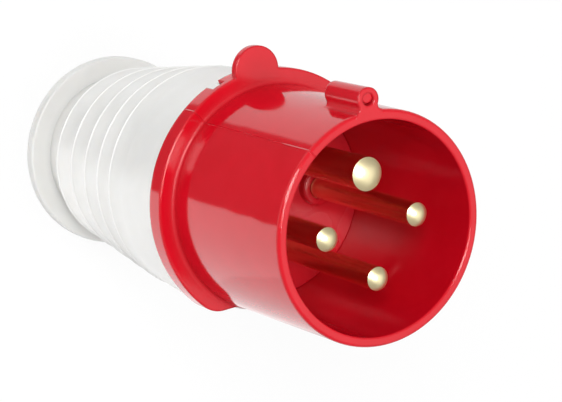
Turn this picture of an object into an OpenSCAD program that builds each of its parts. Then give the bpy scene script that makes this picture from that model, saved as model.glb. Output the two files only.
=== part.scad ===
// Industrial pin and sleeve plug, 16 A, three phases and earth.
// The plug stands on its rear collar: Z runs from the rear face up to the rim of the sleeve,
// and the key, the earth pin and the lobe of the flange lie towards +Y.
// Every height is measured from the rear face, and every angle from +X about Z.

/* [Sleeve] */
// Length from the rear face to the rim
total_length = 119.2; // [116:0.1:124]
// Outer radius at the rim
sleeve_r = 24.5; // [24:0.1:25]
// How much the outer radius grows from the rim to the flange
sleeve_flare = 0.55; // [0.2:0.05:0.8]
// Radius of the bore
sleeve_bore_r = 22.4; // [22.2:0.1:22.6]
// Radius of the rounded outer edge of the rim
rim_round = 0.7; // [0.3:0.1:1]
// Radius of the rounded inner edge of the rim
rim_inner_round = 0.35; // [0.2:0.05:0.5]

/* [Flange] */
// Outer radius of the flange
flange_r = 28.6; // [28.4:0.1:30]
// Height of its front face
flange_z = 78.1; // [77.6:0.1:79]
// Thickness of its front disc
disc_t = 1.6; // [1.4:0.1:2]
// Depth of its rim, from the front face to the rear edge of the skirt
rim_depth = 4.4; // [4.2:0.1:5]
// Wall of the skirt
skirt_wall = 1.4; // [1.2:0.1:1.5]
// Rounding of the front edge
flange_round = 0.3; // [0.1:0.05:0.5]
// Fillet between the flange and the sleeve
flange_fillet = 0.6; // [0.3:0.1:1]
// Angle from the key to the near side of the notch in the skirt
notch_start = 16.6; // [14:0.1:20]
// Angle that the notch spans
notch_span = 6.3; // [5:0.1:8]

/* [Lobe] */
// Radius of the round lobe that marks the flange
lobe_r = 5.4; // [4.5:0.1:6]
// Angle from the key to the lobe
lobe_turn = 1.5; // [0:0.5:4]

/* [Key] */
// Length of the key, back from the rim
key_length = 12; // [8:0.5:16]
// Radius of its round head
key_head_r = 2.5; // [2.2:0.1:2.8]
// Height of the centre of the head over the sleeve
key_rise = 2.4; // [2:0.1:3]
// Width of its neck
key_neck_w = 4.4; // [3.6:0.1:4.8]
// Fillet at the foot of the neck
key_fillet = 0.8; // [0.4:0.1:1.2]
// Radius of the blind hole in its front face
key_hole_r = 1.3; // [0.8:0.1:1.6]
// Depth of that hole
key_hole_depth = 1.8; // [1:0.1:4]

/* [Pins] */
// Radius of the circle on which the pins stand
pin_circle_r = 11.1; // [11:0.1:11.6]
// Radius of the earth pin
earth_r = 3.5; // [3.5:0.1:3.6]
// Radius of the phase pins
phase_r = 2.5; // [2.4:0.1:2.6]
// How far the tips lie behind the rim
tip_setback = 2.2; // [1.5:0.1:6]
// Height of the domed tip
tip_dome = 0.9; // [0.6:0.1:1.4]
// How much wider than its pin the root in the carrier is
root_step = 0.4; // [0.2:0.1:0.6]
// How much wider than its pin each terminal barrel is
barrel_step = 1.2; // [1:0.1:1.3]
// Depth of the wire hole in a barrel
wire_depth = 14; // [10:0.5:16]
// Height of the terminal screws
screw_z = 57; // [55:0.5:60]

/* [Pin carrier] */
// Height of the front face of the carrier
carrier_z = 77.2; // [76.8:0.1:78]
// Thickness of the narrow front step of the carrier
carrier_step = 2; // [1.5:0.1:2.5]
// Thickness of the wide part of the carrier
carrier_t = 5; // [4:0.1:5.2]
// Height of the boss round each pin
boss_h = 2; // [0.5:0.1:2.6]
// Wall of each boss and each terminal tower
boss_wall = 1.6; // [1.2:0.1:1.8]
// Height of the rear end of the towers
tower_end_z = 50.2; // [49.6:0.1:51]

/* [Rear housing] */
// Radius of the collar at the rear end
collar_r = 23.4; // [22.5:0.1:25]
// Thickness of the collar
collar_t = 3.3; // [2.5:0.1:4]
// Radius of the neck beside the collar
neck_r = 18.6; // [18.4:0.1:19.4]
// Number of sharp crests round the grip
crest_count = 5; // [4:1:5]
// Height of the first crest
crest_z = 13.95; // [13:0.05:15]
// Radius of the first crest
crest_r = 21.8; // [21.4:0.1:22.4]
// Step from the first crest to the second
crest_pitch = 10; // [9.6:0.1:10.2]
// Each step between crests as a share of the one before
crest_ratio = 0.92; // [0.88:0.01:0.94]
// Growth of the radius for each unit of height along the crests
crest_slope = 0.118; // [0.11:0.002:0.126]
// Depth of the hollow between two crests
hollow_depth = 0.8; // [0.4:0.1:1]
// Radius at the front end, beside the skirt
shoulder_r = 28; // [27.8:0.1:28.2]
// Wall of the grip
grip_wall = 2.2; // [2:0.1:2.4]

/* [Cable gland] */
// Radius of the bore that takes the gland
gland_r = 16.2; // [15.8:0.1:16.4]
// Depth of that bore
gland_depth = 19.5; // [19:0.1:20]
// Thickness of the rubber seal
seal_t = 6; // [5:0.1:6.5]
// Radius of the hole for the cable
cable_r = 6.2; // [5:0.1:7]
// Thickness of the nut
nut_t = 7; // [6:0.1:7.2]
// Number of fingers on the clamp
finger_count = 8; // [6:1:10]
// Thread pitch of the nut
thread_pitch = 2; // [1.5:0.5:3]

/* [Hidden] */
$fn = 96;

red = "#c92236";
dark_red = "#b51d2f";
pale = "#ecebe7";
brass = "#d8b568";
zinc = "#b8bcc2";
rubber = "#2b2b2d";
grey = "#8c9094";

eps = 0.05;          // how far a cutter runs past the face it opens
slip = 0.05;         // radial clearance of a metal piece in its moulded bore
moulding_gap = 0.3;  // clearance between two mouldings that go together
key_angle = 90;

// Sleeve and flange
foot_r = sleeve_r + sleeve_flare;
disc_rear_z = flange_z - disc_t;
skirt_z = flange_z - rim_depth;
skirt_inner_r = flange_r - skirt_wall;
key_sink = 0.9;      // how deep the key's foot is sunk into the sleeve
key_root = 0.6;
spigot_step = 0.8;   // ledge that stops the carrier
spigot_wall = 2;
spigot_length = 13.7;
spigot_bore_r = sleeve_bore_r + spigot_step;
spigot_r = spigot_bore_r + spigot_wall;
spigot_end_z = skirt_z - spigot_length;

// Pins and their carrier
tip_z = total_length - tip_setback;
ledge_z = carrier_z - carrier_step;
carrier_rear_z = ledge_z - carrier_t;
carrier_play = 0.2;
carrier_r = spigot_bore_r - carrier_play;
barrel_seat = 2;     // how far the barrels reach into the carrier
barrel_bore_lip = 0.2;
barrel_top_z = carrier_rear_z + barrel_seat;
boss_top_z = carrier_z + boss_h;
earth_barrel_r = earth_r + barrel_step;
phase_barrel_r = phase_r + barrel_step;
phase_angles = [0, 180, 270];
snap_count = 4;
snap_angle = 20;
snap_h = 1.1;
snap_reach = 0.5;
post_angles = [45, 225];
post_circle_r = 13.2;
post_r = 3.2;
pilot_r = 1.3;

// Screws
screw_r = 1.5;
screw_stop = 0.5;    // what a terminal screw leaves free in front of it
screw_head_r = 2.4;
screw_head_h = 1.8;
spot_depth = 0.6;
slot_w = 0.7;
slot_depth = 0.8;
access_play = 0.4;
access_r = screw_head_r + access_play;
retainer_t = 2;
retainer_r = 17.6;
retainer_screw_r = 1.25;
retainer_screw_length = 10;
pilot_spare = 1;

// Rear housing
front_end_z = skirt_z - moulding_gap;
lip_inner_r = spigot_r + moulding_gap;
lip_wall = 1.4;
lip_outer_r = lip_inner_r + lip_wall;
lip_h = 1.5;
lip_end_z = front_end_z + lip_h;
seal_clear = 0.1;
seal_w = 1.6;        // width of the flat seal between the lip and the flange
front_chamfer = 0.3;
collar_round = 0.5;
mouth_chamfer = 0.6;
floor_chamfer = 1;
seal_seat = 0.6;     // how far the hole in the floor is wider than the seal's insert
crest_steps = [for (i = [0 : crest_count - 1]) crest_pitch * crest_ratio ^ i];
function sum_to(list, n) = n <= 0 ? 0 : list[n - 1] + sum_to(list, n - 1);
function crest_height(i) = crest_z + sum_to(crest_steps, i);
function crest_point(i) = [crest_r + crest_slope * (crest_height(i) - crest_z), crest_height(i)];
hollow_steps = 8;
cavity_floor_t = 2.5;
cavity_floor_z = gland_depth + cavity_floor_t;
latch_margin = 1;

// Bayonet lock between the two housings
lug_count = 3;
lug_start = 20;
lug_angle = 14;
lug_spare = 1;       // angle that a slot spans beyond its lug
lug_inset = 2;
lug_z = spigot_end_z + lug_inset;
lug_h = 3;
lug_reach = 0.85;
lug_gap = 0.2;
lock_turn = 30;

// Cable gland, from the seal back to the nut
gland_clear = 0.2;
seal_r = gland_r - moulding_gap;
seal_chamfer = 1;
insert_r = 9.2;
insert_play = 0.1;
insert_chamfer = 0.6;
ring_t = 1.5;
ring_overlap = 0.8;  // how far the pressure ring reaches inside the fingers
seal_rear_z = gland_depth - seal_t;
ring_rear_z = seal_rear_z - ring_t;
cage_rear_z = ring_rear_z - ring_t;
nut_rear_z = cage_rear_z - nut_t;
finger_in_r = 9.4;
finger_out_r = 11.2;
finger_spare = 2;    // what the nut is longer than the fingers
finger_length = nut_t - finger_spare;
finger_chamfer = 0.6;
finger_slot_w = 1.4;
nut_clear = 0.6;
nut_chamfer = 0.6;
nut_lip = 1;
nut_bore_r = finger_out_r + nut_clear;
nut_lip_r = finger_in_r + nut_lip;
nut_lip_t = 1.5;
socket_count = 6;
socket_w = 3;
socket_l = 2.4;
socket_inset = 2;    // from the nut's lip to the sockets
socket_depth = 2.2;

// Points on an arc about centre c, from angle a0 to a1 in n steps.
function arc(c, r, a0, a1, n = 6) =
    [for (i = [0 : n]) let(a = a0 + (a1 - a0) * i / n) [c.x + r * cos(a), c.y + r * sin(a)]];

// Points of a hollow from a to b, pushed inwards by a parabola; the first point is left out.
function hollow(a, b, depth, n = hollow_steps) =
    [for (i = [1 : n]) let(t = i / n) [a.x + (b.x - a.x) * t - 4 * depth * t * (1 - t), a.y + (b.y - a.y) * t]];

// A sector of a ring between two radii, from angle a0 over a span, standing at height z.
module ring_sector(r_in, r_out, a0, span, z, h) {
    translate([0, 0, z])
        rotate(a0)
            rotate_extrude(angle = span)
                translate([r_in, 0])
                    square([r_out - r_in, h]);
}

// Puts its children at the given angle and radius about the Z axis.
module around(angle, r) {
    rotate(angle)
        translate([r, 0, 0])
            children();
}

// Cylinder along +X from the given radius outwards.
module radial_cylinder(r, length) {
    rotate([0, 90, 0])
        cylinder(r = r, h = length);
}

// The key's cross-section: round head on a narrower neck with a fillet at each side of its foot.
module key_profile() {
    head_y = sleeve_r + key_rise;
    foot_y = sleeve_r - key_sink;
    translate([0, head_y])
        circle(r = key_head_r);
    translate([-key_neck_w / 2, foot_y])
        square([key_neck_w, head_y - foot_y]);
    for (side = [-1, 1])
        difference() {
            translate([side > 0 ? key_neck_w / 2 : -key_neck_w / 2 - key_fillet, foot_y])
                square([key_fillet, sleeve_r - foot_y + key_fillet]);
            translate([side * (key_neck_w / 2 + key_fillet), sleeve_r + key_fillet])
                circle(r = key_fillet);
        }
}

module key_rib() {
    difference() {
        translate([0, 0, total_length - key_length])
            linear_extrude(key_length)
                key_profile();
        translate([0, 0, total_length - key_length - eps])
            cylinder(r = sleeve_r - key_root, h = key_length + 2 * eps);
        translate([0, sleeve_r + key_rise, total_length - key_hole_depth])
            cylinder(r = key_hole_r, h = key_hole_depth + eps);
    }
}

// Half section of the sleeve, the flange with its skirt, and the spigot behind it.
module housing_section() {
    foot_z = flange_z + flange_fillet;
    polygon(concat(
        [[spigot_bore_r, spigot_end_z], [spigot_r, spigot_end_z], [spigot_r, disc_rear_z],
         [skirt_inner_r, disc_rear_z], [skirt_inner_r, skirt_z], [flange_r, skirt_z]],
        arc([flange_r - flange_round, flange_z - flange_round], flange_round, 0, 90, 4),
        arc([foot_r + flange_fillet, foot_z], flange_fillet, 270, 180, 5),
        arc([sleeve_r - rim_round, total_length - rim_round], rim_round, 0, 90),
        arc([sleeve_bore_r + rim_inner_round, total_length - rim_inner_round], rim_inner_round, 90, 180, 4),
        [[sleeve_bore_r, ledge_z], [spigot_bore_r, ledge_z]]));
}

// The lobe stands out from the disc; its root ends over the groove behind the disc.
module lobe() {
    difference() {
        around(key_angle + lobe_turn, flange_r)
            translate([0, 0, disc_rear_z])
                cylinder(r = lobe_r, h = disc_t);
        translate([0, 0, disc_rear_z - eps])
            cylinder(r = (spigot_r + skirt_inner_r) / 2, h = disc_t + 2 * eps);
    }
}

module front_housing() {
    color(red) {
        difference() {
            union() {
                rotate_extrude()
                    housing_section();
                lobe();
            }
            ring_sector(skirt_inner_r - eps, flange_r + 1, key_angle + notch_start, notch_span,
                        skirt_z - eps, disc_rear_z - skirt_z + eps);
        }
        key_rib();
        for (i = [0 : snap_count - 1])
            ring_sector(spigot_bore_r - snap_reach, spigot_bore_r + eps,
                        45 + i * 360 / snap_count - snap_angle / 2, snap_angle,
                        carrier_rear_z - snap_h - slip, snap_h);
        for (i = [0 : lug_count - 1])
            ring_sector(spigot_r - eps, spigot_r + lug_reach, lug_start + i * 360 / lug_count, lug_angle,
                        lug_z, lug_h);
    }
}

// Boss in front of the carrier and tower behind it, round one pin.
module pin_support(angle, pin_r, barrel_r) {
    around(angle, pin_circle_r) {
        translate([0, 0, ledge_z])
            cylinder(r = pin_r + boss_wall, h = boss_top_z - ledge_z);
        translate([0, 0, tower_end_z])
            cylinder(r = barrel_r + boss_wall, h = ledge_z - tower_end_z);
    }
}

// The holes of one support: pin bore, barrel bore and the way in for the screwdriver.
module support_holes(angle, pin_r, barrel_r) {
    around(angle, pin_circle_r) {
        translate([0, 0, barrel_top_z - eps])
            cylinder(r = pin_r + root_step + slip, h = boss_top_z - barrel_top_z + 2 * eps);
        translate([0, 0, tower_end_z - eps])
            cylinder(r = barrel_r + slip, h = barrel_top_z - tower_end_z + eps);
        translate([0, 0, screw_z])
            radial_cylinder(access_r, barrel_r + boss_wall + 1);
    }
}

module pin_carrier() {
    color(dark_red)
        difference() {
            union() {
                translate([0, 0, ledge_z])
                    cylinder(r = sleeve_bore_r - 0.1, h = carrier_step);
                translate([0, 0, carrier_rear_z])
                    cylinder(r = carrier_r, h = carrier_t);
                pin_support(key_angle, earth_r, earth_barrel_r);
                for (angle = phase_angles)
                    pin_support(angle, phase_r, phase_barrel_r);
                for (angle = post_angles)
                    around(angle, post_circle_r)
                        translate([0, 0, tower_end_z])
                            cylinder(r = post_r, h = ledge_z - tower_end_z);
            }
            support_holes(key_angle, earth_r, earth_barrel_r);
            for (angle = phase_angles)
                support_holes(angle, phase_r, phase_barrel_r);
            for (angle = post_angles)
                around(angle, post_circle_r)
                    translate([0, 0, tower_end_z - eps])
                        cylinder(r = pilot_r, h = retainer_screw_length + pilot_spare);
        }
}

// Plate that keeps the barrels in their towers and leads the wires to them.
module pin_retainer() {
    color(grey)
        translate([0, 0, tower_end_z - retainer_t])
            difference() {
                cylinder(r = retainer_r, h = retainer_t);
                translate([0, 0, -eps]) {
                    cylinder(r = post_r, h = retainer_t + 2 * eps);
                    around(key_angle, pin_circle_r)
                        cylinder(r = earth_r, h = retainer_t + 2 * eps);
                    for (angle = phase_angles)
                        around(angle, pin_circle_r)
                            cylinder(r = phase_r, h = retainer_t + 2 * eps);
                    for (angle = post_angles)
                        around(angle, post_circle_r)
                            cylinder(r = pilot_r + slip, h = retainer_t + 2 * eps);
                }
            }
}

// Turned pin with a domed tip, a shoulder in the carrier and a drilled terminal barrel.
module contact_pin(angle, pin_r, barrel_r) {
    dome_r = (pin_r * pin_r + tip_dome * tip_dome) / (2 * tip_dome);
    dome_angle = asin(pin_r / dome_r);
    color(brass)
        around(angle, pin_circle_r)
            difference() {
                rotate_extrude()
                    polygon(concat(
                        [[0, tower_end_z], [barrel_r, tower_end_z], [barrel_r, barrel_top_z],
                         [pin_r + root_step, barrel_top_z], [pin_r + root_step, boss_top_z],
                         [pin_r, boss_top_z]],
                        arc([0, tip_z - dome_r], dome_r, 90 - dome_angle, 90, 7)));
                translate([0, 0, tower_end_z - eps])
                    cylinder(r = barrel_r - barrel_step - barrel_bore_lip, h = wire_depth + eps);
                translate([0, 0, screw_z])
                    radial_cylinder(screw_r + slip, barrel_r + 1);
                translate([barrel_r - spot_depth, 0, screw_z])
                    radial_cylinder(access_r, spot_depth + 1);
            }
}

module earth_pin() {
    contact_pin(key_angle, earth_r, earth_barrel_r);
}

module phase_pin_1() {
    contact_pin(phase_angles[0], phase_r, phase_barrel_r);
}

module phase_pin_2() {
    contact_pin(phase_angles[1], phase_r, phase_barrel_r);
}

module phase_pin_3() {
    contact_pin(phase_angles[2], phase_r, phase_barrel_r);
}

// Slotted screw along +X whose head bears at x = 0.
module slotted_screw(shank_r, shank_length) {
    difference() {
        union() {
            translate([-shank_length, 0, 0])
                radial_cylinder(shank_r, shank_length + eps);
            radial_cylinder(screw_head_r, screw_head_h);
        }
        translate([screw_head_h - slot_depth, -screw_head_r - eps, -slot_w / 2])
            cube([slot_depth + eps, 2 * (screw_head_r + eps), slot_w]);
    }
}

module terminal_screw(angle, barrel_r) {
    color(zinc)
        around(angle, pin_circle_r + barrel_r - spot_depth)
            translate([0, 0, screw_z])
                slotted_screw(screw_r, barrel_r - spot_depth - screw_stop);
}

module earth_terminal_screw() {
    terminal_screw(key_angle, earth_barrel_r);
}

module terminal_screw_1() {
    terminal_screw(phase_angles[0], phase_barrel_r);
}

module terminal_screw_2() {
    terminal_screw(phase_angles[1], phase_barrel_r);
}

module terminal_screw_3() {
    terminal_screw(phase_angles[2], phase_barrel_r);
}

module retainer_screw(angle) {
    color(zinc)
        around(angle, post_circle_r)
            translate([0, 0, tower_end_z - retainer_t])
                rotate([0, 90, 0])
                    slotted_screw(retainer_screw_r, retainer_screw_length);
}

module retainer_screw_1() {
    retainer_screw(post_angles[0]);
}

module retainer_screw_2() {
    retainer_screw(post_angles[1]);
}

// Half section of the rear housing: collar, neck, crested grip, shoulder and lip outside,
// gland bore, seat for the seal and wiring space inside.
module grip_section() {
    last = crest_count - 1;
    crest_end = crest_point(last);
    run_out = [crest_end.x + (shoulder_r - crest_end.x) / 3, crest_end.y + (front_end_z - crest_end.y) / 3];
    floor_r = crest_point(1).x - hollow_depth - grip_wall;
    polygon(concat(
        arc([gland_r + mouth_chamfer, mouth_chamfer], mouth_chamfer, 180, 270, 3),
        arc([collar_r - collar_round, collar_round], collar_round, 270, 360, 4),
        arc([collar_r - collar_round, collar_t - collar_round], collar_round, 0, 90, 4),
        [[neck_r, collar_t]],
        hollow([neck_r, collar_t], crest_point(0), hollow_depth),
        [for (i = [1 : last]) each hollow(crest_point(i - 1), crest_point(i), hollow_depth)],
        hollow(crest_end, run_out, hollow_depth / 2),
        [[shoulder_r, front_end_z - front_chamfer], [shoulder_r - front_chamfer, front_end_z],
         [lip_outer_r, front_end_z], [lip_outer_r, lip_end_z], [lip_inner_r, lip_end_z],
         [lip_inner_r, spigot_end_z - moulding_gap],
         [crest_end.x - hollow_depth - grip_wall, crest_end.y],
         [floor_r, cavity_floor_z + floor_chamfer], [floor_r - floor_chamfer, cavity_floor_z],
         [insert_r + seal_seat, cavity_floor_z], [insert_r + seal_seat, gland_depth],
         [gland_r, gland_depth]]));
}

module rear_housing() {
    color(pale) {
        difference() {
            rotate_extrude()
                grip_section();
            for (i = [0 : lug_count - 1]) {
                start = lug_start + i * 360 / lug_count;
                ring_sector(lip_inner_r - eps, spigot_r + lug_reach + lug_gap, start - lock_turn,
                            lug_angle + lug_spare, lug_z - lug_gap, lip_end_z - lug_z + lug_gap + eps);
                ring_sector(lip_inner_r - eps, spigot_r + lug_reach + lug_gap, start - lock_turn,
                            lug_angle + lock_turn + lug_spare, lug_z - lug_gap, lug_h + 2 * lug_gap);
            }
        }
        ring_sector(lip_outer_r - eps, shoulder_r, key_angle + notch_start + latch_margin,
                    notch_span - 2 * latch_margin, front_end_z - eps, disc_rear_z - front_end_z - moulding_gap);
    }
}

module housing_seal() {
    color(rubber)
        translate([0, 0, lip_end_z])
            difference() {
                cylinder(r = spigot_r + seal_clear + seal_w, h = disc_rear_z - lip_end_z);
                translate([0, 0, -eps])
                    cylinder(r = spigot_r + seal_clear, h = disc_rear_z - lip_end_z + 2 * eps);
            }
}

module gland_seal() {
    color(rubber)
        rotate_extrude()
            polygon([[insert_r, seal_rear_z], [seal_r, seal_rear_z], [seal_r, gland_depth - seal_chamfer],
                     [seal_r - seal_chamfer, gland_depth], [insert_r, gland_depth]]);
}

// Inner ring that is pushed out of the seal for a thicker cable.
module seal_insert() {
    color(grey)
        rotate_extrude()
            polygon([[cable_r + insert_chamfer, seal_rear_z], [insert_r - insert_play, seal_rear_z],
                     [insert_r - insert_play, gland_depth], [cable_r + insert_chamfer, gland_depth],
                     [cable_r, gland_depth - insert_chamfer], [cable_r, seal_rear_z + insert_chamfer]]);
}

module pressure_ring() {
    color(grey)
        translate([0, 0, ring_rear_z])
            difference() {
                cylinder(r = seal_r, h = ring_t);
                translate([0, 0, -eps])
                    cylinder(r = finger_in_r - ring_overlap, h = ring_t + 2 * eps);
            }
}

// Ring with springy fingers that the nut closes round the cable.
module clamp_cage() {
    color(pale)
        difference() {
            rotate_extrude()
                polygon([[finger_in_r, cage_rear_z - finger_length],
                         [finger_out_r - finger_chamfer, cage_rear_z - finger_length],
                         [finger_out_r, cage_rear_z - finger_length + finger_chamfer],
                         [finger_out_r, cage_rear_z],
                         [seal_r, cage_rear_z], [seal_r, ring_rear_z], [finger_in_r, ring_rear_z]]);
            for (i = [0 : finger_count - 1])
                around(i * 360 / finger_count, finger_in_r - 1)
                    translate([0, -finger_slot_w / 2, cage_rear_z - finger_length - eps])
                        cube([finger_out_r - finger_in_r + 2, finger_slot_w, finger_length]);
        }
}

// Nut with an inner lip and sockets in its rear face for the tightening tool.
module gland_nut() {
    color(grey)
        difference() {
            rotate_extrude()
                polygon([[nut_lip_r, nut_rear_z], [gland_r - gland_clear - nut_chamfer, nut_rear_z],
                         [gland_r - gland_clear, nut_rear_z + nut_chamfer],
                         [gland_r - gland_clear, cage_rear_z],
                         [nut_bore_r, cage_rear_z], [nut_bore_r, nut_rear_z + nut_lip_t + nut_chamfer],
                         [nut_lip_r, nut_rear_z + nut_lip_t]]);
            for (i = [0 : socket_count - 1])
                around(i * 360 / socket_count, nut_lip_r + socket_inset)
                    translate([0, -socket_w / 2, nut_rear_z - eps])
                        cube([socket_l, socket_w, socket_depth + eps]);
        }
}

front_housing();
pin_carrier();
pin_retainer();
earth_pin();
phase_pin_1();
phase_pin_2();
phase_pin_3();
earth_terminal_screw();
terminal_screw_1();
terminal_screw_2();
terminal_screw_3();
retainer_screw_1();
retainer_screw_2();
rear_housing();
housing_seal();
gland_seal();
seal_insert();
pressure_ring();
clamp_cage();
gland_nut();
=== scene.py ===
"""Looks of an industrial pin and sleeve plug.

The plug's solids come from the frame. This script dresses them, trims the flat under
the flange, adds small moulded details, and sets the light, the floor and the camera.
"""
import logging
import math
from dataclasses import dataclass, replace
from enum import Enum
from typing import ClassVar

import bpy
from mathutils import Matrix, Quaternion, Vector


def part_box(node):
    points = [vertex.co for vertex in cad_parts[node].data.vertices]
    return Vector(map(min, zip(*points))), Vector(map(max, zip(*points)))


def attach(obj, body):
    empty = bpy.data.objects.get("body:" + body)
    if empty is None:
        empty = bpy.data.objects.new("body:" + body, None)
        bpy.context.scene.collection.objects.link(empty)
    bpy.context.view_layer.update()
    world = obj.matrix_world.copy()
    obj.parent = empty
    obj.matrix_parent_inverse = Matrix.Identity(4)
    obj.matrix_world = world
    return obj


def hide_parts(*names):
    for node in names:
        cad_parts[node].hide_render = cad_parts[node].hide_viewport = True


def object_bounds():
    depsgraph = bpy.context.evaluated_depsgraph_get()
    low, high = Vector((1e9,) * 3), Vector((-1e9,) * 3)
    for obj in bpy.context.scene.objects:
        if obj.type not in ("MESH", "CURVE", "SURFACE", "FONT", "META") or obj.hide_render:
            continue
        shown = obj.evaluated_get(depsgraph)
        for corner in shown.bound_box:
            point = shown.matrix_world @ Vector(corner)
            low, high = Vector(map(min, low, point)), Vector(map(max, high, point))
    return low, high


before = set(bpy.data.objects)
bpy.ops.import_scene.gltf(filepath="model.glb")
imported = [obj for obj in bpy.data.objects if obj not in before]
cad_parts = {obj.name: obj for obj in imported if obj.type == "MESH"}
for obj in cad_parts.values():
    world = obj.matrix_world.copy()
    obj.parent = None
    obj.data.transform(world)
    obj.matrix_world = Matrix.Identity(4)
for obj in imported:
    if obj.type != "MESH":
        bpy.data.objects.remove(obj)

CAD_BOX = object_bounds()
MM = 0.001
PLUG_BODY = "plug"

log = logging.getLogger("plug")
Colour = tuple[float, float, float]
Corner = tuple[float, float, float]


class Slot(Enum):
    """Names of material slots of the record."""

    RED = "red_nylon"
    CARRIER = "carrier_nylon"
    PALE = "pale_nylon"
    RUBBER = "rubber"


@dataclass(frozen=True)
class Pin:
    """One contact pin.

    Attributes:
        node: Name of its node in the frame.
        radius: Radius of its front end, in mm.
    """

    node: str
    radius: float

    def centre(self) -> tuple[float, float]:
        """Finds the pin's axis.

        Returns:
            X and Y of the axis, in metres.
        """
        low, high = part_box(self.node)
        return (low[0] + high[0]) / 2, (low[1] + high[1]) / 2


PINS = (Pin("earth_pin", 3.5), Pin("phase_pin_1", 2.5), Pin("phase_pin_2", 2.5), Pin("phase_pin_3", 2.5))


# ---------------------------------------------------------------- shader groups


class GroupName(Enum):
    """Shader groups that several finishes share."""

    GRAIN = "moulded_grain"
    RINGS = "turned_rings"
    SEAM = "parting_line"


class NodeBoard:
    """A node tree with short calls to place and join nodes."""

    COLUMN = 220
    ROW = 200

    def __init__(self, tree: bpy.types.NodeTree) -> None:
        """Wraps a node tree and clears it.

        Args:
            tree: The tree of a material, a world or a group.
        """
        self.tree = tree
        tree.nodes.clear()

    def add(self, kind: str, place: tuple[int, int], **values: object) -> bpy.types.Node:
        """Adds a node.

        Args:
            kind: The node's Blender type name.
            place: Column and row on a coarse grid.
            **values: Attributes to set on the node.

        Returns:
            The new node.
        """
        made = self.tree.nodes.new(kind)
        made.location = (place[0] * self.COLUMN, -place[1] * self.ROW)
        for name, value in values.items():
            setattr(made, name, value)
        return made

    def join(self, source: bpy.types.NodeSocket, target: bpy.types.NodeSocket) -> None:
        """Links one socket to another.

        Args:
            source: The output socket.
            target: The input socket.
        """
        self.tree.links.new(source, target)

    def maths(self, operation: str, place: tuple[int, int], *inputs: object) -> bpy.types.NodeSocket:
        """Adds a Math node fed by sockets or numbers.

        Args:
            operation: The Math node's operation.
            place: Column and row on a coarse grid.
            *inputs: Sockets or numbers, in the node's order.

        Returns:
            The node's output socket.
        """
        made = self.add("ShaderNodeMath", place, operation=operation)
        for index, value in enumerate(inputs):
            if isinstance(value, bpy.types.NodeSocket):
                self.join(value, made.inputs[index])
            else:
                made.inputs[index].default_value = value
        return made.outputs[0]


def new_group(name: GroupName, inputs: dict[str, float], outputs: list[str]) -> NodeBoard:
    """Starts a shader group with float inputs and outputs.

    Args:
        name: The group's name.
        inputs: Each input's name and default value.
        outputs: The names of the outputs.

    Returns:
        A board over the group's tree, with nodes named "in" and "out".
    """
    tree = bpy.data.node_groups.new(name.value, "ShaderNodeTree")
    for label, value in inputs.items():
        socket = tree.interface.new_socket(name=label, in_out="INPUT", socket_type="NodeSocketFloat")
        socket.default_value = value
    for label in outputs:
        tree.interface.new_socket(name=label, in_out="OUTPUT", socket_type="NodeSocketFloat")
    board = NodeBoard(tree)
    board.add("NodeGroupInput", (-5, 0), name="in")
    board.add("NodeGroupOutput", (6, 0), name="out")
    return board


def build_grain_group() -> None:
    """Fine mould texture over broad, faint flow marks, as moulded nylon has."""
    board = new_group(GroupName.GRAIN, {"Grain Size": 0.25, "Flow Size": 9.0}, ["Height", "Mask"])
    ends = board.tree.nodes
    place = board.add("ShaderNodeTexCoord", (-4, 0))
    fine_scale = board.maths("DIVIDE", (-4, 1), 1.0 / MM, ends["in"].outputs["Grain Size"])
    flow_scale = board.maths("DIVIDE", (-4, 2), 1.0 / MM, ends["in"].outputs["Flow Size"])
    fine = board.add("ShaderNodeTexNoise", (-2, 0))
    fine.inputs["Detail"].default_value = 3.0
    flow = board.add("ShaderNodeTexNoise", (-2, 2))
    flow.inputs["Detail"].default_value = 2.0
    flow.inputs["Distortion"].default_value = 0.6
    board.join(place.outputs["Object"], fine.inputs["Vector"])
    board.join(place.outputs["Object"], flow.inputs["Vector"])
    board.join(fine_scale, fine.inputs["Scale"])
    board.join(flow_scale, flow.inputs["Scale"])
    fine_share = 0.25
    texture = board.maths("MULTIPLY", (0, 0), fine.outputs["Fac"], fine_share)
    height = board.maths("ADD", (2, 0), texture, flow.outputs["Fac"])
    board.join(height, ends["out"].inputs["Height"])
    board.join(flow.outputs["Fac"], ends["out"].inputs["Mask"])


def build_rings_group() -> None:
    """Fine turning rings round an axis parallel to Z."""
    board = new_group(GroupName.RINGS, {"Centre X": 0.0, "Centre Y": 0.0, "Pitch": 0.22}, ["Height", "Mask"])
    ends = board.tree.nodes
    place = board.add("ShaderNodeTexCoord", (-4, 0))
    split = board.add("ShaderNodeSeparateXYZ", (-3, 0))
    board.join(place.outputs["Object"], split.inputs[0])
    across = board.maths("SUBTRACT", (-2, 0), split.outputs["X"], ends["in"].outputs["Centre X"])
    along = board.maths("SUBTRACT", (-2, 1), split.outputs["Y"], ends["in"].outputs["Centre Y"])
    radius = board.maths("SQRT", (1, 0), board.maths(
        "ADD", (0, 0), board.maths("MULTIPLY", (-1, 0), across, across),
        board.maths("MULTIPLY", (-1, 1), along, along)))
    pitch = board.maths("MULTIPLY", (1, 1), ends["in"].outputs["Pitch"], MM)
    # Radius and height are added, so that rings go on down the flank as feed marks.
    travel = board.maths("ADD", (2, 1), radius, split.outputs["Z"])
    turns = board.maths("DIVIDE", (3, 1), travel, pitch)
    wave = board.maths("SINE", (4, 1), board.maths("MULTIPLY", (3, 2), turns, 2 * math.pi))
    smear = board.add("ShaderNodeTexNoise", (2, 3))
    smear.inputs["Scale"].default_value = 420.0
    board.join(place.outputs["Object"], smear.inputs["Vector"])
    board.join(wave, ends["out"].inputs["Height"])
    board.join(smear.outputs["Fac"], ends["out"].inputs["Mask"])


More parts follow.
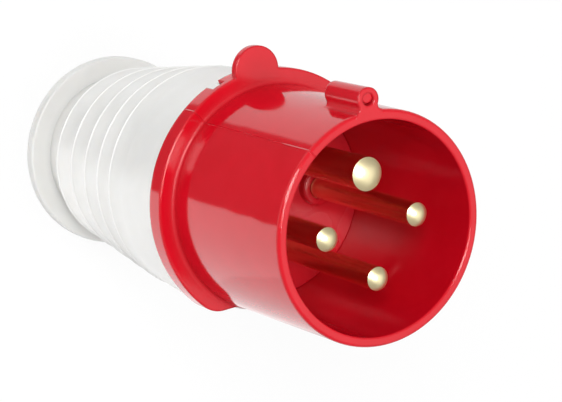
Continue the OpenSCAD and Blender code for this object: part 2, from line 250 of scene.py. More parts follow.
def build_seam_group() -> None:
    """Hairline ridge where two halves of a mould met, running along Z at one angle."""
    board = new_group(GroupName.SEAM, {"Turn": 0.0, "Half Width": 0.1}, ["Height"])
    ends = board.tree.nodes
    place = board.add("ShaderNodeTexCoord", (-4, 0))
    split = board.add("ShaderNodeSeparateXYZ", (-3, 0))
    board.join(place.outputs["Object"], split.inputs[0])
    cosine = board.maths("COSINE", (-3, 1), ends["in"].outputs["Turn"])
    sine = board.maths("SINE", (-3, 2), ends["in"].outputs["Turn"])
    # Distance from the plane through the axis, and the side of the axis.
    aside = board.maths("SUBTRACT", (0, 0), board.maths("MULTIPLY", (-1, 0), split.outputs["Y"], cosine),
                        board.maths("MULTIPLY", (-1, 1), split.outputs["X"], sine))
    outward = board.maths("ADD", (0, 2), board.maths("MULTIPLY", (-1, 2), split.outputs["X"], cosine),
                          board.maths("MULTIPLY", (-1, 3), split.outputs["Y"], sine))
    width = board.maths("MULTIPLY", (1, 1), ends["in"].outputs["Half Width"], MM)
    share = board.maths("DIVIDE", (2, 0), board.maths("ABSOLUTE", (1, 0), aside), width)
    ridge = board.maths("MAXIMUM", (4, 0), board.maths("SUBTRACT", (3, 0), 1.0, share), 0.0)
    side = board.maths("GREATER_THAN", (3, 2), outward, 0.0)
    board.join(board.maths("MULTIPLY", (5, 0), ridge, side), ends["out"].inputs["Height"])


# ---------------------------------------------------------------- finishes


@dataclass(frozen=True)
class MouldedNylon:
    """Injection-moulded nylon: slightly mottled colour, fine grain, soft gloss and rounded edges.

    Attributes:
        name: Name of the material.
        colour: Colour of its light patches.
        dark_colour: Colour of its dark patches.
        roughness: Mean roughness.
        roughness_spread: How far the roughness strays from its mean.
        grain_size: Size of the mould texture, in mm.
        flow_size: Size of the flow marks, in mm.
        bump: Strength of the texture.
        bump_depth: Depth of the texture, in mm.
        edge_radius: Radius that edges seem to have, in mm.
        subsurface: Share of light that enters the skin.
        subsurface_scale: How far that light travels, in mm.
        seam_turn: Angle of the parting line round the axis, in degrees, if there is one.
        seam_bump: Height of the parting line, in mm.
        seam_half_width: Half its width, in mm.
        cavity_reach: How far a hollow is felt, in mm.
        cavity_rough: Roughness added in hollows.
        cavity_painted_shade: Share of painted shade in hollows.
        painted_shade_grey: Brightness of that painted shade.
    """

    IOR: ClassVar[float] = 1.52
    SAMPLES: ClassVar[int] = 6
    SKIN_RADII: ClassVar[Colour] = (1.0, 0.8, 0.6)
    MOTTLE: ClassVar[tuple[float, float]] = (0.3, 0.7)

    name: str
    colour: Colour
    dark_colour: Colour
    roughness: float
    roughness_spread: float
    grain_size: float = 0.3
    flow_size: float = 9.0
    bump: float = 0.05
    bump_depth: float = 0.2
    edge_radius: float = 0.2
    subsurface: float = 0.0
    subsurface_scale: float = 1.5
    seam_turn: float | None = None
    seam_bump: float = 0.12
    seam_half_width: float = 0.22
    cavity_reach: float = 2.5
    cavity_rough: float = 0.0
    cavity_painted_shade: float = 0.0
    painted_shade_grey: float = 0.25

    def build(self) -> bpy.types.Material:
        """Makes the material.

        Returns:
            The new material.
        """
        made = bpy.data.materials.new(self.name)
        made.use_nodes = True
        board = NodeBoard(made.node_tree)
        out = board.add("ShaderNodeOutputMaterial", (5, 0))
        skin = board.add("ShaderNodeBsdfPrincipled", (4, 0))
        skin.inputs["IOR"].default_value = self.IOR
        skin.inputs["Subsurface Weight"].default_value = self.subsurface
        skin.inputs["Subsurface Scale"].default_value = self.subsurface_scale * MM
        skin.inputs["Subsurface Radius"].default_value = self.SKIN_RADII
        board.join(skin.outputs[0], out.inputs[0])
        grain = board.add("ShaderNodeGroup", (0, 1), node_tree=bpy.data.node_groups[GroupName.GRAIN.value])
        grain.inputs["Grain Size"].default_value = self.grain_size
        grain.inputs["Flow Size"].default_value = self.flow_size
        closed = self.add_cavity(board)
        board.join(self.add_colour(board, grain.outputs["Mask"], closed), skin.inputs["Base Color"])
        board.join(self.add_roughness(board, grain.outputs["Mask"], closed), skin.inputs["Roughness"])
        board.join(self.add_relief(board, grain.outputs["Height"]), skin.inputs["Normal"])
        return made

    def add_cavity(self, board: NodeBoard) -> bpy.types.NodeSocket:
        """Finds hollows.

        Args:
            board: The material's nodes.

        Returns:
            How closed in a place is, from 0 to 1.
        """
        hollow = board.add("ShaderNodeAmbientOcclusion", (0, -2), samples=self.SAMPLES, only_local=True)
        hollow.inputs["Distance"].default_value = self.cavity_reach * MM
        return board.maths("SUBTRACT", (1, -2), 1.0, hollow.outputs["AO"])

    def add_colour(self, board: NodeBoard, mask: bpy.types.NodeSocket,
                   closed: bpy.types.NodeSocket) -> bpy.types.NodeSocket:
        """Mottles the colour and paints shade into hollows.

        Args:
            board: The material's nodes.
            mask: The flow marks.
            closed: How closed in a place is.

        Returns:
            The colour.
        """
        spread = board.add("ShaderNodeMapRange", (1, 0))
        spread.inputs["From Min"].default_value, spread.inputs["From Max"].default_value = self.MOTTLE
        board.join(mask, spread.inputs["Value"])
        tint = board.add("ShaderNodeMix", (2, 0), data_type="RGBA")
        tint.inputs["A"].default_value = (*self.dark_colour, 1.0)
        tint.inputs["B"].default_value = (*self.colour, 1.0)
        board.join(spread.outputs[0], tint.inputs["Factor"])
        # Painted shade: hollows that the ambient occlusion finds are darkened in the base colour.
        shade = board.add("ShaderNodeMix", (3, -1), data_type="RGBA", blend_type="MULTIPLY")
        shade.inputs["B"].default_value = (self.painted_shade_grey, self.painted_shade_grey, self.painted_shade_grey, 1.0)
        board.join(board.maths("MULTIPLY", (2, -2), closed, self.cavity_painted_shade), shade.inputs["Factor"])
        board.join(tint.outputs["Result"], shade.inputs["A"])
        return shade.outputs["Result"]

    def add_roughness(self, board: NodeBoard, mask: bpy.types.NodeSocket,
                      closed: bpy.types.NodeSocket) -> bpy.types.NodeSocket:
        """Varies the roughness and raises it in hollows.

        Args:
            board: The material's nodes.
            mask: The flow marks.
            closed: How closed in a place is.

        Returns:
            The roughness.
        """
        rough = board.add("ShaderNodeMapRange", (2, 2))
        rough.inputs["To Min"].default_value = self.roughness - self.roughness_spread
        rough.inputs["To Max"].default_value = self.roughness + self.roughness_spread
        board.join(mask, rough.inputs["Value"])
        worn = board.maths("MULTIPLY", (2, -3), closed, self.cavity_rough)
        return board.maths("ADD", (3, 1), rough.outputs[0], worn)

    def add_relief(self, board: NodeBoard, height: bpy.types.NodeSocket) -> bpy.types.NodeSocket:
        """Rounds the edges, lays the texture over them and adds the parting line.

        Args:
            board: The material's nodes.
            height: Height of the texture.

        Returns:
            The normal.
        """
        edge = board.add("ShaderNodeBevel", (1, 4), samples=self.SAMPLES)
        edge.inputs["Radius"].default_value = self.edge_radius * MM
        texture = board.add("ShaderNodeBump", (2, 3))
        texture.inputs["Strength"].default_value = self.bump
        texture.inputs["Distance"].default_value = self.bump_depth * MM
        board.join(height, texture.inputs["Height"])
        board.join(edge.outputs[0], texture.inputs["Normal"])
        if self.seam_turn is None:
            return texture.outputs[0]
        seam = board.add("ShaderNodeGroup", (1, 5), node_tree=bpy.data.node_groups[GroupName.SEAM.value])
        seam.inputs["Turn"].default_value = math.radians(self.seam_turn)
        seam.inputs["Half Width"].default_value = self.seam_half_width
        ridge = board.add("ShaderNodeBump", (3, 4))
        ridge.inputs["Strength"].default_value = 1.0
        ridge.inputs["Distance"].default_value = self.seam_bump * MM
        board.join(seam.outputs["Height"], ridge.inputs["Height"])
        board.join(texture.outputs[0], ridge.inputs["Normal"])
        return ridge.outputs[0]


@dataclass(frozen=True)
class TurnedMetal:
    """Metal with fine turning rings round its own axis.

    Attributes:
        name: Name of the material.
        colour: Colour of its light patches.
        dark_colour: Colour of its dark patches.
        end_highlight_colour: Lighter colour painted on the faces that look up, as a painted highlight.
        roughness: Mean roughness of the flank.
        centre: X and Y of the axis, in metres.
        pitch: Step between two rings, in mm.
        groove_depth: Depth of the rings, in mm.
        bump: Strength of the rings.
        roughness_swing: Share by which the roughness strays from its mean.
        end_roughness: Roughness of the faces that look up.
    """

    END_FACING: ClassVar[tuple[float, float]] = (0.1, 0.3)

    name: str
    colour: Colour
    dark_colour: Colour
    end_highlight_colour: Colour
    roughness: float
    centre: tuple[float, float] = (0.0, 0.0)
    pitch: float = 0.25
    groove_depth: float = 0.05
    bump: float = 0.025
    roughness_swing: float = 0.07
    end_roughness: float = 0.36

    def build(self) -> bpy.types.Material:
        """Makes the material.

        Returns:
            The new material.
        """
        made = bpy.data.materials.new(self.name)
        made.use_nodes = True
        board = NodeBoard(made.node_tree)
        out = board.add("ShaderNodeOutputMaterial", (5, 0))
        skin = board.add("ShaderNodeBsdfPrincipled", (4, 0))
        skin.inputs["Metallic"].default_value = 1.0
        board.join(skin.outputs[0], out.inputs[0])
        rings = board.add("ShaderNodeGroup", (0, 1), node_tree=bpy.data.node_groups[GroupName.RINGS.value])
        rings.inputs["Centre X"].default_value = self.centre[0]
        rings.inputs["Centre Y"].default_value = self.centre[1]
        rings.inputs["Pitch"].default_value = self.pitch
        tint = board.add("ShaderNodeMix", (2, 0), data_type="RGBA")
        tint.inputs["A"].default_value = (*self.dark_colour, 1.0)
        tint.inputs["B"].default_value = (*self.colour, 1.0)
        board.join(rings.outputs["Mask"], tint.inputs["Factor"])
        rough = board.add("ShaderNodeMapRange", (2, 2))
        rough.inputs["To Min"].default_value = self.roughness * (1 - self.roughness_swing)
        rough.inputs["To Max"].default_value = self.roughness * (1 + self.roughness_swing)
        board.join(rings.outputs["Mask"], rough.inputs["Value"])
        colour, roughness = self.add_end(board, tint.outputs["Result"], rough.outputs[0])
        board.join(colour, skin.inputs["Base Color"])
        board.join(roughness, skin.inputs["Roughness"])
        grooves = board.add("ShaderNodeBump", (3, 3))
        grooves.inputs["Strength"].default_value = self.bump
        grooves.inputs["Distance"].default_value = self.groove_depth * MM
        board.join(rings.outputs["Height"], grooves.inputs["Height"])
        board.join(grooves.outputs[0], skin.inputs["Normal"])
        return made

    def add_end(self, board: NodeBoard, colour: bpy.types.NodeSocket,
                roughness: bpy.types.NodeSocket) -> tuple[bpy.types.NodeSocket, bpy.types.NodeSocket]:
        """Paints the faces that look up lighter, as a painted highlight, and gives them their own roughness.

        Args:
            board: The material's nodes.
            colour: Colour of the flank.
            roughness: Roughness of the flank.

        Returns:
            The colour and the roughness of the whole piece.
        """
        place = board.add("ShaderNodeTexCoord", (0, -2))
        parts = board.add("ShaderNodeSeparateXYZ", (1, -2))
        board.join(place.outputs["Normal"], parts.inputs[0])
        facing = board.add("ShaderNodeMapRange", (2, -2))
        facing.inputs["From Min"].default_value, facing.inputs["From Max"].default_value = self.END_FACING
        board.join(parts.outputs["Z"], facing.inputs["Value"])
        # Painted highlight: faces that look up are mixed toward a lighter colour.
        end_highlight_tint = board.add("ShaderNodeMix", (3, -1), data_type="RGBA")
        end_highlight_tint.inputs["B"].default_value = (*self.end_highlight_colour, 1.0)
        board.join(facing.outputs[0], end_highlight_tint.inputs["Factor"])
        board.join(colour, end_highlight_tint.inputs["A"])
        end_rough = board.add("ShaderNodeMix", (3, 1), data_type="FLOAT")
        end_rough.inputs["B"].default_value = self.end_roughness
        board.join(facing.outputs[0], end_rough.inputs["Factor"])
        board.join(roughness, end_rough.inputs["A"])
        return end_highlight_tint.outputs["Result"], end_rough.outputs[0]


RED_GLOSS = MouldedNylon(
    "red_nylon_gloss", (0.62, 0.003, 0.014), (0.58, 0.002, 0.011), 0.1, 0.025,
    bump=0.02, edge_radius=0.7, seam_turn=127.0, cavity_rough=0.9)
RED_SATIN = MouldedNylon("red_nylon_satin", (0.6, 0.006, 0.018), (0.55, 0.004, 0.014), 0.28, 0.05)
# Painted shade: the grip's hollows are darkened in its base colour.
PALE_GRIP = MouldedNylon(
    "pale_nylon", (0.805, 0.8, 0.78), (0.775, 0.77, 0.75), 0.38, 0.04, grain_size=0.5, bump=0.04,
    subsurface=0.15, subsurface_scale=3.0, cavity_reach=1.6, cavity_painted_shade=0.25)
# Painted highlight: the crest lands are a lighter pale than the grip, so that they show as bright lines.
PALE_CREST_HIGHLIGHT = MouldedNylon(
    "pale_crest_painted_highlight", (0.94, 0.935, 0.92), (0.91, 0.905, 0.89), 0.25, 0.03, bump=0.02, edge_radius=0.05)
PALE_CLAMP = MouldedNylon("pale_clamp_nylon", (0.8, 0.8, 0.78), (0.77, 0.77, 0.75), 0.4, 0.05)
GREY_PLATE = MouldedNylon("grey_nylon", (0.3, 0.31, 0.32), (0.26, 0.27, 0.28), 0.4, 0.05)
GREY_GLAND = MouldedNylon("grey_gland_nylon", (0.36, 0.37, 0.38), (0.32, 0.33, 0.34), 0.42, 0.05)
BLACK_RUBBER = MouldedNylon(
    "black_rubber", (0.03, 0.03, 0.031), (0.022, 0.022, 0.023), 0.6, 0.08, bump=0.12)
ZINC = TurnedMetal(
    "zinc_plate", (0.72, 0.74, 0.78), (0.62, 0.64, 0.68), (0.72, 0.74, 0.78), 0.32, end_roughness=0.32)
# Painted highlight: the pin ends that look up take a lighter brass.
BRASS = TurnedMetal("brass", (0.93, 0.76, 0.47), (0.86, 0.66, 0.36), (0.95, 0.83, 0.5), 0.24)


# ---------------------------------------------------------------- modelling


ROUND_SIDES = 192
SMALL_SIDES = 96
OVERSHOOT = 1.0  # how far a cutting body goes past what it cuts, in mm
SMALL_CREASE = 30.0  # angle in degrees from which an edge of a small piece stays sharp


def start_primitive() -> None:
    """Clears the selection, so that the next operator touches only what it makes."""
    if bpy.context.object and bpy.context.object.mode != "OBJECT":
        bpy.ops.object.mode_set(mode="OBJECT")
    bpy.ops.object.select_all(action="DESELECT")


def pick(piece: bpy.types.Object) -> None:
    """Makes one object the selected and active one.

    Args:
        piece: The object.
    """
    start_primitive()
    piece.select_set(True)
    bpy.context.view_layer.objects.active = piece


def settle(piece: bpy.types.Object) -> None:
    """Moves an object's place, turn and scale into its mesh.

    Args:
        piece: The object.
    """
    pick(piece)
    bpy.ops.object.transform_apply(location=True, rotation=True, scale=True)


def add_tube(name: str, radius: float, low: float, high: float, at: tuple[float, float] = (0.0, 0.0),
             top_radius: float | None = None, sides: int = ROUND_SIDES) -> bpy.types.Object:
    """Adds a cylinder or a cone frustum about an axis parallel to Z.

    Args:
        name: The object's name.
        radius: Radius at the lower end, in mm.
        low: Height of the lower end, in mm.
        high: Height of the upper end, in mm.
        at: Centre in X and Y, in mm.
        top_radius: Radius at the upper end, where it differs.
        sides: Number of sides.

    Returns:
        The new object.
    """
    start_primitive()
    top = radius if top_radius is None else top_radius
    bpy.ops.mesh.primitive_cone_add(
        vertices=sides, radius1=radius * MM, radius2=top * MM, depth=(high - low) * MM,
        location=(at[0] * MM, at[1] * MM, (low + high) / 2 * MM))
    made = bpy.context.object
    made.name = name
    settle(made)
    return made


def add_block(name: str, low: Corner, high: Corner) -> bpy.types.Object:
    """Adds a box between two corners, in mm.

    Args:
        name: The object's name.
        low: Lowest corner.
        high: Highest corner.

    Returns:
        The new object.
    """
    start_primitive()
    middle = [(a + b) / 2 * MM for a, b in zip(low, high)]
    bpy.ops.mesh.primitive_cube_add(size=1.0, location=middle)
    made = bpy.context.object
    made.name = name
    made.scale = [(b - a) * MM for a, b in zip(low, high)]
    settle(made)
    return made


def cut(piece: bpy.types.Object, tool: bpy.types.Object) -> None:
    """Cuts one object out of another and removes it.

    Args:
        piece: The object that is cut.
        tool: The object that cuts it.
    """
    pick(piece)
    step = piece.modifiers.new("cut", "BOOLEAN")
    step.operation = "DIFFERENCE"
    step.solver = "EXACT"
    step.object = tool
    bpy.ops.object.modifier_apply(modifier=step.name)
    bpy.data.objects.remove(tool, do_unlink=True)


# ---------------------------------------------------------------- the plug


@dataclass(frozen=True)
class BottomRelief:
    """Flat under the flange, opposite the key, with a rounded corner at each end.

    It takes away what stands out beyond keep_r in a quarter of the round that opens to -Y. Sizes in mm.

    Attributes:
        flat_y: Distance of the flat from the axis.
        corner_r: Radius of the corners.
        keep_r: Radius that stays whole.
        low: Height at which the cut starts.
        high: Height at which it ends.
        corner_x: Distance of a corner's centre from the plug's middle plane.
        corner_y: Distance of a corner's centre from the axis, towards the flat.
        taper: How much keep_r grows at the lower end.
        taper_slope: Height of the growing part for each mm of taper.
    """

    REACH: ClassVar[float] = 60.0
    TURN: ClassVar[float] = -135.0

    flat_y: float
    corner_r: float
    keep_r: float
    low: float
    high: float
    corner_x: float = 15.8
    corner_y: float = 15.45
    taper: float = 0.0
    taper_slope: float = 2.5

    def build(self) -> bpy.types.Object:
        """Makes the cutting body.

        Returns:
            The body, to be subtracted from a shell.
        """
        bottom, top = self.low - OVERSHOOT, self.high + OVERSHOOT
        tool = add_block("relief", (0.0, 0.0, self.low), (self.REACH, self.REACH, self.high))
        tool.rotation_euler.z = math.radians(self.TURN)
        settle(tool)
        cut(tool, add_block("strip", (-self.corner_x, -self.flat_y, bottom),
                            (self.corner_x, self.REACH, top)))
        for side in (-1.0, 1.0):
            centre = (side * self.corner_x, -self.corner_y)
            cut(tool, add_tube("corner", self.corner_r, bottom, top, centre, sides=SMALL_SIDES))
        cut(tool, add_tube("core", self.keep_r, bottom, top))
        if self.taper:
            cut(tool, add_tube("run_out", self.keep_r + self.taper, bottom,
                               self.low + self.taper_slope * self.taper, top_radius=self.keep_r))
        return tool


def wear(piece: bpy.types.Object, material: bpy.types.Material) -> None:
    """Gives a piece one material in place of all that it had.

    Args:
        piece: The piece.
        material: Its new material.
    """
    piece.data.materials.clear()
    piece.data.materials.append(material)
    log.info("%s wears %s", piece.name, material.name)


def dress(node: str, material: bpy.types.Material) -> None:
    """Gives a node of the frame its finish.

    Args:
        node: The node's name.
        material: The material that fills all its slots.
    """
    wear(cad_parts[node], material)


def mount(piece: bpy.types.Object, material: bpy.types.Material) -> None:
    """Gives a modelled piece its finish and fixes it to the plug.

    Args:
        piece: The piece.
        material: Its material.
    """
    wear(piece, material)
    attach(piece, PLUG_BODY)


def trim(node: str, relief: BottomRelief, material: bpy.types.Material,
         crease: float = 28.0) -> None:
    """Puts a trimmed copy in the place of a node of the frame.

    Args:
        node: The node's name.
        relief: What is cut from the copy.
        material: The copy's material.
        crease: Angle in degrees from which an edge stays sharp.
    """
    weld, face_weight = 0.002, 80
    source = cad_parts[node]
    piece = bpy.data.objects.new(f"{node}_trimmed", source.data.copy())
    bpy.context.scene.collection.objects.link(piece)
    pick(piece)
    bpy.ops.object.mode_set(mode="EDIT")
    bpy.ops.mesh.select_all(action="SELECT")
    bpy.ops.mesh.remove_doubles(threshold=weld * MM)
    bpy.ops.object.mode_set(mode="OBJECT")
    bpy.ops.mesh.customdata_custom_splitnormals_clear()
    cut(piece, relief.build())
    pick(piece)
    bpy.ops.object.shade_smooth_by_angle(angle=math.radians(crease))
    weigh = piece.modifiers.new("weigh", "WEIGHTED_NORMAL")
    weigh.keep_sharp = True
    weigh.weight = face_weight
    bpy.ops.object.modifier_apply(modifier=weigh.name)
    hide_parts(node)
    mount(piece, material)


@dataclass
class FrontHousing:
    """Red sleeve with its flange, and the pin carrier inside it. Sizes in mm.

    Attributes:
        relief: Flat under the flange.
        boss_top: Height of the carrier's bosses.
        lip_rise: How far a lip stands above its boss.
        lip_sink: How far it reaches into the boss.
        lip_gap: Gap between a lip and its pin.
        lip_wall: How far a lip reaches out from its pin.
        lip_round: Width of its rounded edges.
        hole_at: Centre of the hole in the key.
        hole_r: Radius of that hole.
        hole_low: Depth to which the hole is filled from.
        dimple_depth: Depth that is left of it.
        dimple_sides: Number of sides of the filling.
    """

    relief: BottomRelief = BottomRelief(flat_y=21.95, corner_r=6.5, keep_r=25.25, low=73.4, high=78.9)
    boss_top: float = 79.2
    lip_rise: float = 0.3
    lip_sink: float = 0.5
    lip_gap: float = 0.03
    lip_wall: float = 1.4
    lip_round: float = 0.15
    hole_at: tuple[float, float] = (0.0, 27.45)
    hole_r: float = 1.32
    hole_low: float = 1.9
    dimple_depth: float = 0.3
    dimple_sides: int = 64

    def add_boss_lip(self, pin: Pin, material: bpy.types.Material) -> None:
        """Puts a moulded lip round the foot of a pin.

        Args:
            pin: The pin.
            material: The carrier's finish.
        """
        at = tuple(place / MM for place in pin.centre())
        base, top = self.boss_top - self.lip_sink, self.boss_top + self.lip_rise
        ring = add_tube(f"{pin.node}_lip", pin.radius + self.lip_wall, base, top, at, sides=SMALL_SIDES)
        cut(ring, add_tube("bore", pin.radius + self.lip_gap, base - OVERSHOOT, top + OVERSHOOT, at,
                           sides=SMALL_SIDES))
        pick(ring)
        bevel = ring.modifiers.new("round", "BEVEL")
        bevel.width = self.lip_round * MM
        bevel.segments = 2
        bevel.limit_method = "ANGLE"
        bpy.ops.object.modifier_apply(modifier=bevel.name)
        bpy.ops.object.shade_smooth_by_angle(angle=math.radians(SMALL_CREASE))
        mount(ring, material)

    def add_key_dimple(self, material: bpy.types.Material) -> None:
        """Fills the key's hole up to a shallow dimple.

        Args:
            material: The sleeve's finish.
        """
        top = CAD_BOX[1][2] / MM
        plug = add_tube("key_dimple", self.hole_r, top - self.hole_low, top - self.dimple_depth,
                        self.hole_at, sides=self.dimple_sides)
        bpy.ops.object.shade_smooth_by_angle(angle=math.radians(SMALL_CREASE))
        mount(plug, material)

    def dress(self) -> None:
        """Trims and dresses the sleeve, and dresses the carrier."""
        gloss, satin = RED_GLOSS.build(), RED_SATIN.build()
        trim("front_housing", self.relief, gloss)
        self.add_key_dimple(gloss)
        dress("pin_carrier", satin)
        for pin in PINS:
            self.add_boss_lip(pin, satin)


@dataclass
class Contacts:
    """Brass pins, their screws and the plate that holds them."""

    screws: tuple[str, ...] = ("earth_terminal_screw", "terminal_screw_1", "terminal_screw_2",
                               "terminal_screw_3", "retainer_screw_1", "retainer_screw_2")

    def dress(self) -> None:
        """Dresses each pin with rings round its own axis, then the screws and the plate."""
        for pin in PINS:
            dress(pin.node, replace(BRASS, name=f"brass_{pin.node}", centre=pin.centre()).build())
        zinc = ZINC.build()
        for screw in self.screws:
            dress(screw, zinc)
        dress("pin_retainer", GREY_PLATE.build())


@dataclass
class RearHousing:
    """Pale grip housing with its seal. Sizes in mm.

    Attributes:
        crest_count: Number of crests round the grip.
        crest_z: Height of the first crest.
        crest_r: Radius of the first crest.
        crest_pitch: Step from the first crest to the second.
        crest_ratio: Each step as a share of the one before.
        crest_slope: Growth of the radius for each mm of height.
        bead_r: Radius of the land's section.
        bead_sink: How far its middle lies under the crest.
        bead_sides: Number of sides round the plug and round the section.
        relief: What the flat under the flange takes from the housing.
        seal_relief: What it takes from the seal.
        crease: Angle in degrees from which an edge of the housing stays sharp.
    """

    crest_count: int = 5
    crest_z: float = 13.95
    crest_r: float = 21.8
    crest_pitch: float = 10.0
    crest_ratio: float = 0.92
    crest_slope: float = 0.118
    bead_r: float = 0.36
    bead_sink: float = 0.2
    bead_sides: tuple[int, int] = (240, 12)
    relief: BottomRelief = BottomRelief(
        flat_y=21.45, corner_r=6.0, keep_r=25.75, low=58.0, high=76.0, taper=3.2)
    seal_relief: BottomRelief = BottomRelief(flat_y=21.45, corner_r=6.0, keep_r=25.28, low=74.0, high=77.0)
    crease: float = 10.0

    def add_crest_bead(self, number: int, height: float, material: bpy.types.Material) -> None:
        """Lays a thin rounded land along a crest of the grip.

        Args:
            number: The crest's number.
            height: The crest's height.
            material: The lands' finish, a lighter pale than the grip as a painted highlight.
        """
        radius = self.crest_r + self.crest_slope * (height - self.crest_z) - self.bead_sink
        start_primitive()
        bpy.ops.mesh.primitive_torus_add(
            major_radius=radius * MM, minor_radius=self.bead_r * MM, major_segments=self.bead_sides[0],
            minor_segments=self.bead_sides[1], location=(0.0, 0.0, height * MM))
        bead = bpy.context.object
        bead.name = f"crest_bead_{number}"
        settle(bead)
        bpy.ops.object.shade_smooth()
        mount(bead, material)

    def dress(self) -> None:
        """Trims and dresses the housing, and the seal in front of it."""
        trim("rear_housing", self.relief, PALE_GRIP.build(), self.crease)
        # Painted highlight: the lands wear a lighter pale than the grip.
        land = PALE_CREST_HIGHLIGHT.build()
        height = self.crest_z
        for number in range(self.crest_count):
            self.add_crest_bead(number + 1, height, land)
            height += self.crest_pitch * self.crest_ratio ** number
        rubber = BLACK_RUBBER.build()
        trim("housing_seal", self.seal_relief, rubber)
        for node in ("gland_seal", "seal_insert"):
            dress(node, rubber)


@dataclass
class CableGland:
    """Clamp and nut in the neck."""

    def dress(self) -> None:
        """Dresses the ring, the fingers and the nut."""
        grey = GREY_GLAND.build()
        dress("pressure_ring", grey)
        dress("gland_nut", grey)
        dress("clamp_cage", PALE_CLAMP.build())


# ---------------------------------------------------------------- studio


@dataclass
class Floor:
    """Plain white floor that keeps the plug's shadow, and a dark card on it. Sizes in metres.

    Attributes:
        size: Side of the floor.
        colour: Its colour.
        own_light: Share of plain white in what is seen of it.
        flag_low: Low corner of the card, in X and Y.
        flag_high: High corner of the card.
        flag_lift: Height of the card over the floor.
        flag_colour: Colour of the card.
    """

    size: float = 6.0
    colour: Colour = (0.9, 0.9, 0.9)
    own_light: float = 0.9
    flag_low: tuple[float, float] = (-0.14, 0.008)
    flag_high: tuple[float, float] = (-0.016, 0.13)
    flag_lift: float = 0.002
    flag_colour: Colour = (0.13, 0.13, 0.13)

    def build(self) -> None:
        """Makes the floor under the plug."""
        start_primitive()
        bpy.ops.mesh.primitive_plane_add(size=self.size, location=(0, 0, CAD_BOX[0][2]))
        floor = bpy.context.object
        floor.name = "floor"
        made = bpy.data.materials.new("floor_white")
        made.use_nodes = True
        board = NodeBoard(made.node_tree)
        out = board.add("ShaderNodeOutputMaterial", (4, 0))
        matt = board.add("ShaderNodeBsdfDiffuse", (1, 0))
        matt.inputs["Color"].default_value = (*self.colour, 1.0)
        glow = board.add("ShaderNodeEmission", (1, 1))
        glow.inputs["Strength"].default_value = 1.0
        path = board.add("ShaderNodeLightPath", (0, -2))
        seen = board.maths("MAXIMUM", (1, -2), path.outputs["Is Camera Ray"], board.maths(
            "MAXIMUM", (0, -3), path.outputs["Is Glossy Ray"], path.outputs["Is Transmission Ray"]))
        share = board.maths("MULTIPLY", (2, -2), seen, self.own_light)
        mix = board.add("ShaderNodeMixShader", (3, 0))
        board.join(share, mix.inputs[0])
        board.join(matt.outputs[0], mix.inputs[1])
        board.join(glow.outputs[0], mix.inputs[2])
        board.join(mix.outputs[0], out.inputs[0])
        floor.data.materials.append(made)
        self.add_flag()

    def add_flag(self) -> None:
        """Lays a dark card beside the plug, which the glossy sleeve mirrors as a deep red band."""
        low, high = Vector((*self.flag_low, 0.0)), Vector((*self.flag_high, 0.0))
        middle, reach = (low + high) / 2, high - low
        start_primitive()
        bpy.ops.mesh.primitive_plane_add(
            size=1.0, location=(middle.x, middle.y, CAD_BOX[0][2] + self.flag_lift))
        flag = bpy.context.object
        flag.name = "dark_flag"
        flag.scale = (reach.x, reach.y, 1.0)
        flag.visible_camera = False
        flag.visible_shadow = False
        flag.visible_diffuse = False
        made = bpy.data.materials.new("flag_cloth")
        made.use_nodes = True
        board = NodeBoard(made.node_tree)
        out = board.add("ShaderNodeOutputMaterial", (3, 0))
        cloth = board.add("ShaderNodeBsdfDiffuse", (2, 0))
        cloth.inputs["Color"].default_value = (*self.flag_colour, 1.0)
        board.join(cloth.outputs[0], out.inputs[0])
        flag.data.materials.append(made)


@dataclass(frozen=True)
class Softbox:
    """One rectangular studio lamp. Sizes in metres.

    Attributes:
        name: Name of the lamp.
        place: Middle of the lamp.
        size: Its two sides.
        power: Its power in watts.
        aim: The point that it faces.
    """

    name: str
    place: Corner
    size: tuple[float, float]
    power: float
    aim: Corner = (0.0, 0.0, 0.08)

    def build(self) -> None:
        """Makes the lamp."""
        lamp = bpy.data.lights.new(self.name, "AREA")
        lamp.shape = "RECTANGLE"
        lamp.size, lamp.size_y = self.size
        lamp.energy = self.power
        holder = bpy.data.objects.new(self.name, lamp)
        bpy.context.scene.collection.objects.link(holder)
        holder.location = self.place
        toward = Vector(self.aim) - Vector(self.place)
        holder.rotation_mode = "QUATERNION"
        holder.rotation_quaternion = toward.to_track_quat("-Z", "Y")
        holder.visible_camera = False


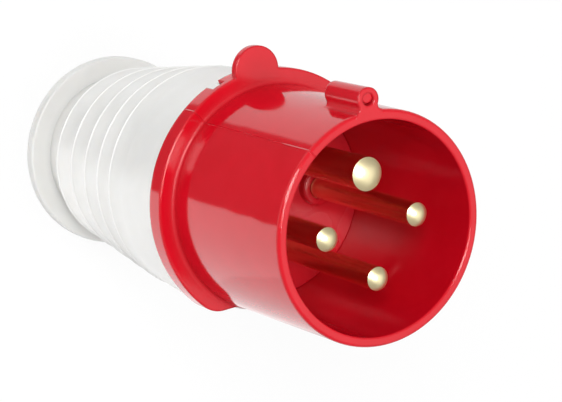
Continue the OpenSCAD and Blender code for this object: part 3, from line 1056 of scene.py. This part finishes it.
@dataclass
class Studio:
    """World light and lamps.

    Attributes:
        world_strength: Strength of the light from all round.
        lamps: Three lamps above the plug, and two on the floor that the sleeve's low side mirrors.
    """

    world_strength: float = 0.395
    lamps: tuple[Softbox, ...] = (
        Softbox("key_softbox", (-0.47, 0.44, 0.97), (0.35, 0.35), 7.2),
        Softbox("mirror_softbox", (0.55, -0.3, 1.0), (0.9, 0.7), 1.4),
        Softbox("top_softbox", (0.0, 0.0, 1.25), (0.3, 0.3), 4.7),
        Softbox("near_softbox", (-0.063, -0.03, 0.003), (0.125, 0.076), 0.0084, (-0.063, -0.03, 1.0)),
        Softbox("far_softbox", (-0.055, -0.07, 0.0025), (0.18, 0.156), 0.0195, (-0.055, -0.07, 1.0)),
    )

    def build(self) -> None:
        """Makes the world and the lamps."""
        world = bpy.data.worlds.new("studio_world")
        bpy.context.scene.world = world
        world.use_nodes = True
        board = NodeBoard(world.node_tree)
        out = board.add("ShaderNodeOutputWorld", (4, 0))
        light = board.add("ShaderNodeBackground", (1, 0))
        seen = board.add("ShaderNodeBackground", (1, 1))
        for shade, strength in ((light, self.world_strength), (seen, 1.0)):
            shade.inputs["Strength"].default_value = strength
            shade.inputs["Color"].default_value = (1.0, 1.0, 1.0, 1.0)
        path = board.add("ShaderNodeLightPath", (0, -2))
        mix = board.add("ShaderNodeMixShader", (3, 0))
        board.join(path.outputs["Is Camera Ray"], mix.inputs[0])
        board.join(light.outputs[0], mix.inputs[1])
        board.join(seen.outputs[0], mix.inputs[2])
        board.join(mix.outputs[0], out.inputs[0])
        for lamp in self.lamps:
            lamp.build()


@dataclass
class Camera:
    """Camera that looks down on the mouth of the sleeve, turned so that the plug lies across the picture.

    Attributes:
        aim: The point that it faces, in metres.
        distance: How far it stands from that point, in metres.
        azimuth: Its turn round the plug, in degrees.
        elevation: Its height over the horizon, in degrees.
        roll: Its turn round its own axis, in degrees.
        lens: Focal length, in mm.
        sensor: Width of the sensor, in mm.
        clip: Nearest and farthest distance that it sees, in metres.
    """

    aim: Corner = (-0.00015, -0.0003, 0.081)
    distance: float = 0.4357
    azimuth: float = -117.14
    elevation: float = 56.62
    roll: float = -106.75
    lens: float = 128.1
    sensor: float = 36.0
    clip: tuple[float, float] = (0.01, 20.0)

    def build(self) -> None:
        """Makes the camera and sets it as the scene's."""
        lens = bpy.data.cameras.new("camera")
        lens.lens = self.lens
        lens.sensor_width = self.sensor
        lens.clip_start, lens.clip_end = self.clip
        camera = bpy.data.objects.new("camera", lens)
        bpy.context.scene.collection.objects.link(camera)
        turn, rise = math.radians(self.azimuth), math.radians(self.elevation)
        back = Vector((math.sin(turn) * math.cos(rise), -math.cos(turn) * math.cos(rise), math.sin(rise)))
        camera.location = Vector(self.aim) + back * self.distance
        level = (-back).to_track_quat("-Z", "Y")
        camera.rotation_mode = "QUATERNION"
        camera.rotation_quaternion = level @ Quaternion((0, 0, 1), -math.radians(self.roll))
        bpy.context.scene.camera = camera


def set_view() -> None:
    """Sets the plain view transform."""
    bpy.context.scene.view_settings.view_transform = "Standard"


def main() -> None:
    """Builds the shared groups, the plug's looks and the studio."""
    logging.basicConfig(level=logging.INFO, format="%(name)s: %(message)s")
    Camera().build()
    build_grain_group()
    build_rings_group()
    build_seam_group()
    FrontHousing().dress()
    Contacts().dress()
    RearHousing().dress()
    CableGland().dress()
    Floor().build()
    Studio().build()
    set_view()


if __name__ == "__main__":
    main()
